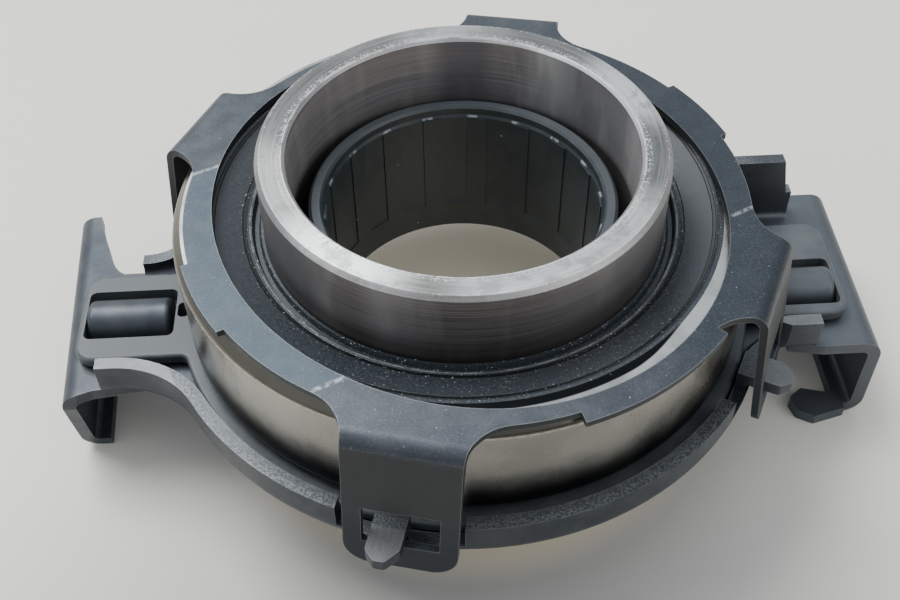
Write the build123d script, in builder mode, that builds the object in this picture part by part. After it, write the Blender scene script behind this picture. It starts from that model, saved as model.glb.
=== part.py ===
from build123d import *
import math
import os

os.makedirs("parts", exist_ok=True)

# All sizes are in millimetres. Z is the sleeve's axis, X runs through the two fork ears,
# and the origin is where the axis meets the lower end of the bore's straight wall.

# Heights shared by several pieces
SLEEVE_TOP = 21.4
FLANGE_BASE = 3.4
FLANGE_T = 2.0
RING_SEAT = FLANGE_BASE + FLANGE_T
RING_TOP = 21.0
NOSE_TOP = 29.6
BALL_Z = 12.6

# Sheet of the carrier, and the play round the parts that lie in it
SHEET = 1.7
BEND = 0.9
RIM_R = 39.6
RIM_TOP = 7.7
FLOOR_TOP = FLANGE_BASE
FLOOR_BASE = FLOOR_TOP - SHEET
SEAT_GAP = 0.3

# Guide sleeve
BORE_R = 17.2
LEAD_IN = 0.8
FLUTE_DEPTH = 0.15
FLUTES = 18
RIB_DEG = 9.0
SLEEVE_R = 19.3
SLEEVE_FLANGE_R = RIM_R - SHEET - SEAT_GAP
RIB_TOP = 19.8
BAND_TOP = 4.4
MOUTH_R = 17.6
EDGE_BREAK = 0.4

# Sleeve's arms over the ears, and the relief hole beside the left window
ARM_OUT = 50.6
ARM_CORNER = 2.6
ARM_ROOT = 1.0
RIGHT_ARM_Y = 0.1
RIGHT_ARM_WIDTH = 17.0
LEFT_ARM_Y = -2.8
LEFT_ARM_WIDTH = 14.8
RELIEF_X = 37.2
RELIEF_Y = -2.3
RELIEF_WIDTH = 1.5
RELIEF_LENGTH = 2.5

# Bearing
OUTER_R = 36.2
NOSE_R = 25.0
NOSE_BORE_R = 21.4
SEAL_SEAT_R = 32.2
BALL_R = 3.572
PITCH_R = 29.9
BALLS = 16
BALL_PLAY = 0.03
GROOVE_R = BALL_R * 1.04
CONTACT_DEG = 30.0
INNER_LAND_R = 27.7
OUTER_LAND_R = 31.7
RING_CHAMFER = 1.1
RING_FOOT = 1.6
NOSE_EDGE = 0.5
CAGE_IN = 28.4
CAGE_OUT = 31.1
CAGE_LOW = BALL_Z - 2.0
CAGE_HIGH = 17.0

# Seal and shield
SEAL_SEAT_Z = 18.6
SEAL_IN_R = 27.4
INSERT_T = 0.5
LIP_PLAY = 0.05
SHIELD_Z = 6.0
SHIELD_T = 0.7
SHIELD_IN_R = 27.0
SHIELD_PLAY = 0.02

# Retaining cover, cut from spring strip and folded along two parallel lines
COVER_T = 0.9
COVER_X = 0.43
COVER_Y = -0.38
COVER_TURN = 25.2
COVER_BASE = RING_TOP + 0.6
COVER_TOP = COVER_BASE + COVER_T
FOLD_Y = 19.4
FOLD_DEG = 2.0

# The disc sits a little off the middle of its four legs, and its hole is narrower along the folds
DISC_X = -0.4
DISC_Y = -0.9
DISC_R = 34.8
HOLE_ALONG = 30.8
HOLE_ACROSS = 33.2
HOLE_TURN = 6.9
LUG_R = 35.65
LUG_HALF = 5.8
FRONT_LUG_R = 36.2
FRONT_LUG_FROM = -99.0
FRONT_LUG_TO = -66.0
NECK_FILLET = 6.0

# Legs: the inner face is LEG_FACE from the middle where it passes the carrier's rim
LEG_DEG = 51.0
LEG_FACE = 40.25
LEG_SPLAY = 6.0
LEG_HALF = 6.6
LEG_FLARE = 4.0
LEG_BASE = 2.0
LEG_BEND = 2.2
LEG_CORNER = 3.2
WINDOW_HALF = 4.45
WINDOW_TOP = 11.9
HOOK_SEAT = 0.1

# Hooks of the carrier that the cover's legs clip on
TAB_TURN = 23.3
TAB_TIP_R = 44.5
TAB_HALF = 1.95
TAB_BASE = 5.9
NOTCH_TOP = TAB_BASE - 1.7
LEG_ROOM = 0.9
NOTCH_WIDTH = 2 * (LEG_HALF + LEG_ROOM)
NOTCH_SHIFT = 0.9

# Fork ears
WALL_X = 54.4
HOOK_BASE = -10.9
LIP_X = 50.6
TONGUE_X = 44.6
RIDGE_Y = -2.35
RIDGE_R = 3.1
RIDGE_IN = 38.7
RIDGE_OUT = 49.6
RIDGE_END = 0.8
WINDOW_Y = -2.6
WINDOW_WIDTH = 8.2
WINDOW_IN = 38.2
WINDOW_OUT = 49.8
FRONT_Y = -12.2
LEFT_FLANGE_Y = -13.7
LEFT_BACK_Y = 8.4
RIGHT_BACK_Y = 14.2
RIGHT_END_Y = 16.4
RIGHT_FRONT_Y = -12.4
LEFT_END_Y = 18.4
LEFT_FRONT_Y = -14.4
LEFT_WALL_TURN = 3.8
EAR_ROOT = 42.0
PLAN_ROOT = 36.0
PLAN_OUT = WALL_X + 5.6
EAR_CORNER = 6.0
LEFT_FRONT_CORNER = 12.0
TALL_TAB_TOP = 13.4
TALL_TAB_FROM = 37.6
TALL_TAB_TO = 45.5
RIGHT_FLANGE_END = 45.4
RIGHT_BACK_END = 47.4
LEFT_FLANGE_END = 46.9
LEFT_BACK_END = 43.6
LOW_FLANGE_TOP = RIM_TOP - 2.5
HORN_X = 51.1


# Carrier plate: outline of the dished trough, round the bearing and out along both ears
with BuildSketch(Plane.XY.offset(FLOOR_BASE)) as trough:
    Circle(RIM_R)
    with Locations((44.0, (FRONT_Y + RIGHT_BACK_Y) / 2)):
        Rectangle(24.0, RIGHT_BACK_Y - FRONT_Y)
    with Locations((-44.0, (LEFT_FLANGE_Y + LEFT_BACK_Y) / 2)):
        Rectangle(24.0, LEFT_BACK_Y - LEFT_FLANGE_Y)
    corners = trough.vertices().filter_by(lambda v: abs(math.hypot(v.X, v.Y) - RIM_R) < 0.05)
    left_front = corners.filter_by(lambda v: abs(v.Y - LEFT_FLANGE_Y) < 0.05)
    fillet(left_front, LEFT_FRONT_CORNER)
    other_corners = trough.vertices().filter_by(lambda v: abs(math.hypot(v.X, v.Y) - RIM_R) < 0.05)
    other_corners = other_corners.filter_by(lambda v: v.X > 0.0 or v.Y > 0.0)
    fillet(other_corners, EAR_CORNER)

with BuildPart() as trough_block:
    extrude(trough.sketch, amount=RIM_TOP - FLOOR_BASE)
    low_edges = trough_block.edges().group_by(Axis.Z)[0]
    fillet(low_edges, SHEET + BEND)

hollow_outline = offset(trough.sketch, amount=-SHEET, mode=Mode.PRIVATE).moved(Location((0, 0, SHEET)))
with BuildPart() as hollow_block:
    extrude(hollow_outline, amount=RIM_TOP)
    fillet(hollow_block.edges().group_by(Axis.Z)[0], BEND)

# One ear's folded section: plate, outer wall and lip, drawn for the right side
with BuildSketch(Plane.XZ.offset(-30.0)) as ear_section:
    with BuildLine():
        Polyline(
            (EAR_ROOT, FLOOR_TOP),
            (WALL_X, FLOOR_TOP),
            (WALL_X, HOOK_BASE),
            (LIP_X, HOOK_BASE),
            (LIP_X, HOOK_BASE + SHEET),
            (WALL_X - SHEET, HOOK_BASE + SHEET),
            (WALL_X - SHEET, FLOOR_BASE),
            (EAR_ROOT, FLOOR_BASE),
            close=True,
        )
    make_face()
    outer_bends = ear_section.vertices().filter_by(lambda v: abs(v.X - WALL_X) < 0.01)
    fillet(outer_bends, SHEET + BEND)
    inner_bends = ear_section.vertices().filter_by(lambda v: abs(v.X - WALL_X + SHEET) < 0.01)
    fillet(inner_bends, BEND)

# Plan of each ear's plate, cut out of the folded section
with BuildSketch(Plane.XY.offset(HOOK_BASE)) as right_plan:
    with BuildLine():
        Polyline(
            (PLAN_ROOT, FRONT_Y + SHEET),
            (46.5, RIGHT_FRONT_Y),
            (PLAN_OUT, RIGHT_FRONT_Y),
            (PLAN_OUT, RIGHT_END_Y),
            (RIGHT_BACK_END + 0.8, RIGHT_END_Y),
            (RIGHT_BACK_END, RIGHT_BACK_Y - SHEET),
            (PLAN_ROOT, RIGHT_BACK_Y - SHEET),
            close=True,
        )
    make_face()

with BuildSketch(Plane.XY.offset(HOOK_BASE)) as left_plan:
    with BuildLine():
        Line((-PLAN_ROOT, LEFT_BACK_Y - SHEET), (-46.4, LEFT_BACK_Y - SHEET))
        Spline(
            (-46.4, LEFT_BACK_Y - SHEET),
            (-48.9, 11.0),
            (-HORN_X, LEFT_END_Y),
            tangents=((-0.9, 0.45), (-0.12, 1.0)),
        )
        Polyline(
            (-HORN_X, LEFT_END_Y),
            (-PLAN_OUT, LEFT_END_Y),
            (-PLAN_OUT, LEFT_FRONT_Y),
            (-50.2, LEFT_FRONT_Y),
            (-48.2, LEFT_FLANGE_Y),
            (-PLAN_ROOT, LEFT_FLANGE_Y + SHEET),
            (-PLAN_ROOT, LEFT_BACK_Y - SHEET),
        )
    make_face()

with BuildPart() as right_ear:
    extrude(ear_section.sketch, amount=60.0)
    extrude(right_plan.sketch, amount=30.0, mode=Mode.INTERSECT)

# The left wall closes in a little towards the front, and its lower front corner is cut back
with BuildPart() as left_fold:
    extrude(ear_section.sketch.mirror(Plane.YZ), amount=60.0, dir=(0, -1, 0))
wall_pivot = Axis((-WALL_X, LEFT_END_Y, 0), (0, 0, 1))

with BuildPart() as left_ear:
    add(left_fold.part.rotate(wall_pivot, LEFT_WALL_TURN))
    extrude(left_plan.sketch, amount=30.0, mode=Mode.INTERSECT)
    with BuildSketch(Plane.YZ.offset(-PLAN_OUT)):
        with BuildLine():
            Polyline(
                (LEFT_FRONT_Y - 1.0, FLOOR_BASE - 1.0),
                (LEFT_FRONT_Y, FLOOR_BASE - 1.0),
                (LEFT_FRONT_Y + 2.9, HOOK_BASE),
                (LEFT_FRONT_Y + 2.9, HOOK_BASE - 1.0),
                (LEFT_FRONT_Y - 1.0, HOOK_BASE - 1.0),
                close=True,
            )
        make_face()
    extrude(amount=20.0, mode=Mode.SUBTRACT)

# Tongue that closes the front of the right fork channel from below
with BuildPart() as tongue:
    with BuildSketch(Plane.XY.offset(HOOK_BASE)):
        with BuildLine():
            Polyline(
                (WALL_X - 2.6, -9.6),
                (LIP_X - 1.0, -10.2),
                (46.6, -9.4),
                (TONGUE_X, -10.9),
                (TONGUE_X + 0.6, -13.2),
                (47.4, -14.4),
                (WALL_X - 2.6, -13.2),
                close=True,
            )
        make_face()
    extrude(amount=SHEET)
    fillet(tongue.edges().filter_by(Axis.Z).sort_by(Axis.X)[0:2], 0.9)

# Ridge pressed up along the right ear, and the hollow beneath it
ridge_middle = (RIDGE_IN + RIDGE_OUT) / 2
with BuildPart() as ridge:
    with Locations((ridge_middle, RIDGE_Y, FLOOR_TOP)):
        Cylinder(RIDGE_R, RIDGE_OUT - RIDGE_IN, rotation=(0, 90, 0))
    fillet(ridge.edges().filter_by(GeomType.CIRCLE), RIDGE_END)
    with Locations((ridge_middle, RIDGE_Y, FLOOR_BASE - 2.0)):
        Box(RIDGE_OUT - RIDGE_IN, 2 * RIDGE_R, 4.0, mode=Mode.SUBTRACT)

with BuildPart() as ridge_hollow:
    with Locations((ridge_middle, RIDGE_Y, FLOOR_TOP)):
        Cylinder(RIDGE_R - SHEET, RIDGE_OUT - RIDGE_IN - 2 * SHEET, rotation=(0, 90, 0))
    with Locations((ridge_middle, RIDGE_Y, FLOOR_BASE)):
        Box(RIDGE_OUT - RIDGE_IN - 2 * SHEET, 2 * (RIDGE_R - SHEET), 2 * SHEET)

with BuildPart() as carrier:
    add(trough_block.part)
    add(hollow_block.part, mode=Mode.SUBTRACT)
    # The upturned flange stops short of the ears' outer ends
    with BuildSketch(Plane.XY.offset(FLOOR_BASE - 1.0)):
        with Locations((RIGHT_FLANGE_END + 10.0, FRONT_Y + 5.0), (RIGHT_BACK_END + 10.0, RIGHT_BACK_Y - 4.0)):
            Rectangle(20.0, 18.0)
        with Locations((-LEFT_FLANGE_END - 10.0, FRONT_Y + 5.0), (-LEFT_BACK_END - 10.0, LEFT_BACK_Y - 4.0)):
            Rectangle(20.0, 18.0)
    extrude(amount=20.0, mode=Mode.SUBTRACT)
    add(right_ear.part)
    add(left_ear.part)
    add(tongue.part)

    # Lower flange at the back of the left ear
    with BuildSketch(Plane.XY.offset(LOW_FLANGE_TOP)):
        with Locations((-43.0, LEFT_BACK_Y)):
            Rectangle(18.0, 2 * SHEET + 1.0)
    extrude(amount=RIM_TOP, mode=Mode.SUBTRACT)

    # Tall tab at the back of the right ear
    with BuildSketch(Plane.XZ.offset(-RIGHT_BACK_Y)):
        with BuildLine():
            Polyline(
                (TALL_TAB_FROM, FLOOR_TOP),
                (TALL_TAB_FROM, TALL_TAB_TOP),
                (TALL_TAB_TO, TALL_TAB_TOP),
                (RIGHT_BACK_END, FLOOR_TOP),
                close=True,
            )
        make_face()
    extrude(amount=SHEET)

    # Ridges on both ears
    add(ridge.part)
    add(ridge.part.mirror(Plane.YZ))
    add(ridge_hollow.part, mode=Mode.SUBTRACT)
    add(ridge_hollow.part.mirror(Plane.YZ), mode=Mode.SUBTRACT)

    # Hole that the sleeve passes through
    with BuildSketch(Plane.XY.offset(FLOOR_BASE)):
        Circle(SLEEVE_R + 0.3)
    extrude(amount=SHEET, mode=Mode.SUBTRACT)

    # Rim lowered on both sides of each hook, and cut back where a leg of the cover hangs outside it
    with BuildSketch(Plane.XY.offset(NOTCH_TOP)):
        for turn in (TAB_TURN + LEG_DEG, TAB_TURN - LEG_DEG):
            with PolarLocations(RIM_R - 1.0, 2, start_angle=turn):
                with Locations((0.0, NOTCH_SHIFT)):
                    Rectangle(5.0, NOTCH_WIDTH)
    extrude(amount=5.0, mode=Mode.SUBTRACT)
    with BuildSketch(Plane.XY.offset(FLOOR_BASE)):
        for turn in (TAB_TURN + LEG_DEG, TAB_TURN - LEG_DEG):
            with PolarLocations(RIM_R + 2.2, 2, start_angle=turn):
                with Locations((0.0, NOTCH_SHIFT)):
                    Rectangle(4.0, NOTCH_WIDTH)
    extrude(amount=8.0, mode=Mode.SUBTRACT)

    # Hooks
    with BuildSketch(Plane.XY.offset(TAB_BASE)) as hooks:
        for turn in (TAB_TURN + LEG_DEG, TAB_TURN - LEG_DEG):
            with PolarLocations(0.0, 2, start_angle=turn):
                Polygon(
                    (RIM_R - SHEET, -TAB_HALF),
                    (TAB_TIP_R - 1.2, -TAB_HALF),
                    (TAB_TIP_R, -TAB_HALF + 1.2),
                    (TAB_TIP_R, TAB_HALF - 1.4),
                    (TAB_TIP_R - 1.8, TAB_HALF),
                    (RIM_R - SHEET, TAB_HALF),
                    align=None,
                )
        tips = hooks.vertices().filter_by(lambda v: math.hypot(v.X, v.Y) > TAB_TIP_R - 2.0)
        fillet(tips, 0.7)
    extrude(amount=SHEET)
    with BuildSketch(Plane.XY.offset(TAB_BASE - 2.0)):
        for turn in (TAB_TURN + LEG_DEG, TAB_TURN - LEG_DEG):
            with PolarLocations(RIM_R - SHEET / 2 - 0.15, 2, start_angle=turn):
                Rectangle(SHEET - 0.4, 2 * TAB_HALF)
    extrude(amount=2.1)
carrier.part.label = "carrier_plate"
export_step(carrier.part, "parts/carrier_plate.step")


# Guide sleeve: fluted tube, flange under the bearing and an arm over each ear
with BuildPart() as sleeve:
    with BuildSketch(Plane.XZ):
        with BuildLine():
            Polyline(
                (BORE_R + 1.3, -LEAD_IN),
                (SLEEVE_R - EDGE_BREAK, -LEAD_IN),
                (SLEEVE_R, -LEAD_IN + EDGE_BREAK),
                (SLEEVE_R, SLEEVE_TOP - EDGE_BREAK),
                (SLEEVE_R - EDGE_BREAK, SLEEVE_TOP),
                (MOUTH_R + 0.3, SLEEVE_TOP),
                (MOUTH_R, SLEEVE_TOP - 0.3),
                (MOUTH_R, RIB_TOP + EDGE_BREAK),
                (BORE_R + FLUTE_DEPTH, RIB_TOP),
                (BORE_R + FLUTE_DEPTH, BAND_TOP),
                (BORE_R, BAND_TOP - 0.2),
                (BORE_R, 0.0),
                (BORE_R + 1.3, -LEAD_IN),
            )
        make_face()
    revolve(axis=Axis.Z)

    # Ribs that ride on the gearbox's guide tube
    with BuildSketch(Plane.XY.offset(BAND_TOP - 0.3)):
        Circle(BORE_R + FLUTE_DEPTH + 0.1)
        Circle(BORE_R, mode=Mode.SUBTRACT)
        with PolarLocations(BORE_R, FLUTES, start_angle=180.0 / FLUTES):
            Rectangle(2.0, 2 * BORE_R * math.sin(math.radians((360 / FLUTES - RIB_DEG) / 2)), mode=Mode.SUBTRACT)
    extrude(amount=RIB_TOP - BAND_TOP + 0.2)

    with BuildSketch(Plane.XY.offset(FLANGE_BASE)) as flange_plan:
        Circle(SLEEVE_FLANGE_R)
        with Locations((ARM_OUT / 2, RIGHT_ARM_Y)):
            Rectangle(ARM_OUT, RIGHT_ARM_WIDTH)
        with Locations((-ARM_OUT / 2, LEFT_ARM_Y)):
            Rectangle(ARM_OUT, LEFT_ARM_WIDTH)
        joints_2d = flange_plan.vertices().filter_by(
            lambda v: abs(math.hypot(v.X, v.Y) - SLEEVE_FLANGE_R) < 0.05
        )
        fillet(joints_2d, ARM_ROOT)
        arm_corners = flange_plan.vertices().filter_by(lambda v: abs(v.X) > ARM_OUT - 0.1)
        fillet(arm_corners, ARM_CORNER)
        Circle(SLEEVE_R - 0.5, mode=Mode.SUBTRACT)
    extrude(amount=FLANGE_T)
    top_edges = sleeve.edges().filter_by(
        lambda e: abs(e.center().Z - RING_SEAT) < 0.01 and abs(e.center().X) > 39.5
    )
    fillet(top_edges, 0.5)
    low_edges = sleeve.faces().filter_by(Axis.Z).group_by(Axis.Z)[1].edges().filter_by(
        lambda e: math.hypot((e @ 0.5).X, (e @ 0.5).Y) > SLEEVE_R + 2.0
    )
    chamfer(low_edges, 0.6)

    # Windows round the ridges, and the small relief hole beside the left one
    with BuildSketch(Plane.XY.offset(FLANGE_BASE)):
        for side in (1, -1):
            with Locations((side * (WINDOW_IN + WINDOW_OUT) / 2, WINDOW_Y)):
                RectangleRounded(WINDOW_OUT - WINDOW_IN, WINDOW_WIDTH, 0.9)
        with Locations((-RELIEF_X, RELIEF_Y)):
            RectangleRounded(RELIEF_WIDTH, RELIEF_LENGTH, RELIEF_WIDTH / 2 - 0.1)
    extrude(amount=FLANGE_T, mode=Mode.SUBTRACT)
sleeve.part.label = "guide_sleeve"
export_step(sleeve.part, "parts/guide_sleeve.step")


# Retaining cover: flat blank in its own frame, X along the fold lines
leg_turns = (LEG_DEG, 180.0 - LEG_DEG, 180.0 + LEG_DEG, -LEG_DEG)
face_at_top = LEG_FACE - (COVER_BASE - NOTCH_TOP) * math.tan(math.radians(LEG_SPLAY))
bend_start = face_at_top + COVER_T - LEG_BEND * math.tan(math.radians((90.0 - LEG_SPLAY) / 2))

with BuildSketch() as lug_plan:
    with Locations((DISC_X, DISC_Y)):
        Circle(LUG_R)
        Rectangle(90.0, 2 * LUG_HALF, mode=Mode.INTERSECT)

with BuildSketch() as front_lug_plan:
    with Locations((DISC_X, DISC_Y)):
        Circle(FRONT_LUG_R)
        Polygon(
            (0.0, 0.0),
            (60.0 * math.cos(math.radians(FRONT_LUG_FROM)), 60.0 * math.sin(math.radians(FRONT_LUG_FROM))),
            (60.0 * math.cos(math.radians(FRONT_LUG_TO)), 60.0 * math.sin(math.radians(FRONT_LUG_TO))),
            align=None,
            mode=Mode.INTERSECT,
        )

with BuildSketch() as blank:
    with Locations((DISC_X, DISC_Y)):
        Circle(DISC_R)
    for turn in leg_turns:
        with PolarLocations(LEG_FACE - 8.0, 1, start_angle=turn):
            Rectangle(24.0, 2 * LEG_HALF)
    roots = blank.vertices().filter_by(
        lambda v: abs(math.hypot(v.X - DISC_X, v.Y - DISC_Y) - DISC_R) < 0.05 and abs(v.Y) > 10.0
    )
    fillet(roots, NECK_FILLET)
    add(lug_plan.sketch)
    add(front_lug_plan.sketch)
    with Locations((DISC_X, DISC_Y)):
        Ellipse(HOLE_ALONG, HOLE_ACROSS, rotation=HOLE_TURN, mode=Mode.SUBTRACT)

with BuildSketch() as plate_plan:
    add(blank.sketch)
    for turn in leg_turns:
        with PolarLocations(bend_start + 10.0, 1, start_angle=turn):
            Rectangle(20.0, 2 * (LEG_HALF + LEG_FLARE), mode=Mode.SUBTRACT)

with BuildSketch() as strip_plan:
    add(plate_plan.sketch)
    Rectangle(120.0, 2 * FOLD_Y, mode=Mode.INTERSECT)

# Folding a flap lowers its legs and leans them in; both are allowed for here
leg_drop = (LEG_FACE * math.sin(math.radians(LEG_DEG)) - FOLD_Y) * math.sin(math.radians(FOLD_DEG))
leg_slope = math.tan(math.radians(LEG_SPLAY)) + math.tan(math.radians(FOLD_DEG)) * math.sin(math.radians(LEG_DEG))
leg_end = LEG_BASE + leg_drop
face_at_end = face_at_top + (COVER_BASE - leg_end) * leg_slope
window_base = TAB_BASE - HOOK_SEAT + leg_drop

# Four legs, unfolded: bent sheet trimmed to the blank's flared necks, then windowed
legs = {}
for turn in leg_turns:
    with BuildSketch(Plane.XZ.rotated((0, 0, turn)).offset(-LEG_HALF - LEG_FLARE)) as leg_section:
        with BuildLine():
            Polyline(
                (bend_start - 0.5, COVER_TOP),
                (face_at_top + COVER_T, COVER_TOP),
                (face_at_end + COVER_T, leg_end),
                (face_at_end, leg_end),
                (face_at_top, COVER_BASE),
                (bend_start - 0.5, COVER_BASE),
                close=True,
            )
        make_face()
        outer_bend = leg_section.vertices().group_by(Axis.Y)[-1].sort_by(Axis.X)[-1]
        fillet(outer_bend, LEG_BEND)
        inner_bend = leg_section.vertices().filter_by(lambda v: abs(v.X - face_at_top) < 0.01)
        fillet(inner_bend, LEG_BEND - COVER_T)

    with BuildPart() as leg:
        extrude(leg_section.sketch, amount=2 * (LEG_HALF + LEG_FLARE))
        extrude(blank.sketch, amount=COVER_TOP + 1.0, mode=Mode.INTERSECT)
        face_plane = Plane(
            origin=(0, 0, 0),
            x_dir=(-math.sin(math.radians(turn)), math.cos(math.radians(turn)), 0),
            z_dir=(math.cos(math.radians(turn)), math.sin(math.radians(turn)), 0),
        ).offset(face_at_top - 1.0)
        with BuildSketch(face_plane):
            with Locations((0.0, (window_base + WINDOW_TOP) / 2)):
                Rectangle(2 * WINDOW_HALF, WINDOW_TOP - window_base)
        extrude(amount=8.0, mode=Mode.SUBTRACT)
        # Rounded lower corners
        with BuildSketch(face_plane):
            with Locations((0.0, leg_end + 1.0)):
                Rectangle(2 * LEG_HALF + 2.0, 7.0)
            with Locations((0.0, leg_end + 5.0)):
                RectangleRounded(2 * LEG_HALF, 10.0, LEG_CORNER, mode=Mode.SUBTRACT)
        extrude(amount=8.0, mode=Mode.SUBTRACT)
    legs[turn] = leg.part

# Side flaps with two legs each, folded down about the strip's edges
flaps = []
for side, turns in ((1, leg_turns[:2]), (-1, leg_turns[2:])):
    with BuildSketch() as flap_plan:
        add(plate_plan.sketch)
        with Locations((0.0, side * (FOLD_Y + 30.0))):
            Rectangle(120.0, 60.0, mode=Mode.INTERSECT)
    with BuildPart() as flap:
        extrude(flap_plan.sketch.moved(Location((0, 0, COVER_BASE))), amount=COVER_T)
        for turn in turns:
            add(legs[turn])
    fold_axis = Axis((0, side * FOLD_Y, COVER_TOP), (1, 0, 0))
    flaps.append(flap.part.rotate(fold_axis, -side * FOLD_DEG))

with BuildPart() as cover_flat:
    extrude(strip_plan.sketch.moved(Location((0, 0, COVER_BASE))), amount=COVER_T)
    for folded in flaps:
        add(folded)

with BuildPart() as cover:
    add(cover_flat.part.rotate(Axis.Z, COVER_TURN).moved(Location((COVER_X, COVER_Y, 0))))
cover.part.label = "retaining_cover"
export_step(cover.part, "parts/retaining_cover.step")


# Ball grooves lean along the line of contact, so that the nose can take the thrust
contact = math.radians(CONTACT_DEG)
groove_shift = GROOVE_R - BALL_R - BALL_PLAY
inner_groove = (PITCH_R + groove_shift * math.cos(contact), BALL_Z - groove_shift * math.sin(contact))
outer_groove = (PITCH_R - groove_shift * math.cos(contact), BALL_Z + groove_shift * math.sin(contact))

with BuildPart() as outer_ring:
    with BuildSketch(Plane.XZ):
        with BuildLine():
            Polyline(
                (SEAL_SEAT_R + 0.1, RING_SEAT),
                (OUTER_R - RING_FOOT, RING_SEAT),
                (OUTER_R, RING_SEAT + RING_FOOT),
                (OUTER_R, RING_TOP - RING_CHAMFER),
                (OUTER_R - RING_CHAMFER, RING_TOP),
                (SEAL_SEAT_R, RING_TOP),
                (SEAL_SEAT_R, SEAL_SEAT_Z),
                (OUTER_LAND_R, SEAL_SEAT_Z),
                (OUTER_LAND_R, SHIELD_Z + SHIELD_T),
                (SEAL_SEAT_R + 0.1, SHIELD_Z + SHIELD_T),
                close=True,
            )
        make_face()
        with Locations(outer_groove):
            Circle(GROOVE_R, mode=Mode.SUBTRACT)
    revolve(axis=Axis.Z)
    rounded = outer_ring.edges().filter_by(
        lambda e: e.geom_type == GeomType.CIRCLE and abs(e.radius - OUTER_R) < 0.01
    )
    fillet(rounded, 0.9)
outer_ring.part.label = "outer_ring"
export_step(outer_ring.part, "parts/outer_ring.step")

with BuildPart() as inner_ring:
    with BuildSketch(Plane.XZ):
        with BuildLine():
            Polyline(
                (NOSE_BORE_R, 6.3),
                (26.2, 6.3),
                (26.6, 6.7),
                (26.6, 9.4),
                (INNER_LAND_R, 9.8),
                (INNER_LAND_R, 16.6),
                (NOSE_R + 1.2, 17.2),
                (NOSE_R, 18.2),
                (NOSE_R, NOSE_TOP - NOSE_EDGE),
                (NOSE_R - NOSE_EDGE, NOSE_TOP),
                (NOSE_BORE_R + 0.4, NOSE_TOP),
                (NOSE_BORE_R, NOSE_TOP - 0.4),
                close=True,
            )
        make_face()
        with Locations(inner_groove):
            Circle(GROOVE_R, mode=Mode.SUBTRACT)
    revolve(axis=Axis.Z)
inner_ring.part.label = "inner_ring"
export_step(inner_ring.part, "parts/inner_ring.step")

# Balls and the cage that spaces them
for number in range(BALLS):
    angle = math.radians(360.0 / BALLS * number)
    with BuildPart() as ball:
        with Locations((PITCH_R * math.cos(angle), PITCH_R * math.sin(angle), BALL_Z)):
            Sphere(BALL_R)
    ball.part.label = f"ball_{number + 1:02d}"
    export_step(ball.part, f"parts/ball_{number + 1:02d}.step")

with BuildPart() as cage:
    with BuildSketch(Plane.XZ):
        with Locations(((CAGE_IN + CAGE_OUT) / 2, (CAGE_LOW + CAGE_HIGH) / 2)):
            Rectangle(CAGE_OUT - CAGE_IN, CAGE_HIGH - CAGE_LOW)
    revolve(axis=Axis.Z)
    with PolarLocations(PITCH_R, BALLS):
        with Locations((0, 0, BALL_Z)):
            Sphere(BALL_R + 0.1, mode=Mode.SUBTRACT)
cage.part.label = "ball_cage"
export_step(cage.part, "parts/ball_cage.step")

# Front seal: rubber bonded on a thin steel insert
with BuildPart() as seal_insert:
    with BuildSketch(Plane.XZ):
        with BuildLine():
            Polyline(
                (SEAL_SEAT_R - 0.4, SEAL_SEAT_Z),
                (SEAL_SEAT_R - 0.4, 20.0),
                (SEAL_SEAT_R - 0.4 - INSERT_T, 20.0),
                (SEAL_IN_R, 18.75),
                (SEAL_IN_R, 18.75 - INSERT_T),
                (30.8, 19.15),
                (SEAL_SEAT_R - 0.9, 19.2),
                (SEAL_SEAT_R - 0.9, SEAL_SEAT_Z),
                close=True,
            )
        make_face()
    revolve(axis=Axis.Z)
seal_insert.part.label = "seal_insert"
export_step(seal_insert.part, "parts/seal_insert.step")

with BuildPart() as seal:
    with BuildSketch(Plane.XZ):
        with BuildLine():
            Polyline(
                (SEAL_SEAT_R, SEAL_SEAT_Z),
                (SEAL_SEAT_R, RING_TOP - 0.1),
                (SEAL_SEAT_R - 0.5, RING_TOP - 0.1),
                (SEAL_SEAT_R - 0.8, RING_TOP - 0.3),
                (26.9, 19.35),
                (26.5, 19.35),
                (26.4, 19.1),
                (26.2, 18.5),
                (25.7, 18.5),
                (25.4, 19.0),
                (NOSE_R + LIP_PLAY, 19.0),
                (NOSE_R + LIP_PLAY, 18.7),
                (25.5, 18.0),
                (SEAL_IN_R, 18.0),
                (SEAL_IN_R, 18.75),
                (SEAL_SEAT_R - 0.9, 20.0),
                (SEAL_SEAT_R - 0.4, 20.0),
                (SEAL_SEAT_R - 0.4, SEAL_SEAT_Z),
                close=True,
            )
        make_face()
    revolve(axis=Axis.Z)
seal.part.label = "front_seal"
export_step(seal.part, "parts/front_seal.step")

# Rear shield pressed into the outer ring's back
with BuildPart() as shield:
    with BuildSketch(Plane.XZ):
        with BuildLine():
            Polyline(
                (SHIELD_IN_R, SHIELD_Z),
                (SEAL_SEAT_R + 0.1 - SHIELD_PLAY, SHIELD_Z),
                (SEAL_SEAT_R + 0.1 - SHIELD_PLAY, SHIELD_Z + SHIELD_T - SHIELD_PLAY),
                (SHIELD_IN_R, SHIELD_Z + SHIELD_T - SHIELD_PLAY),
                close=True,
            )
        make_face()
    revolve(axis=Axis.Z)
shield.part.label = "rear_shield"
export_step(shield.part, "parts/rear_shield.step")
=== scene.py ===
import math

import bpy
from mathutils import Matrix, Vector


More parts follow.
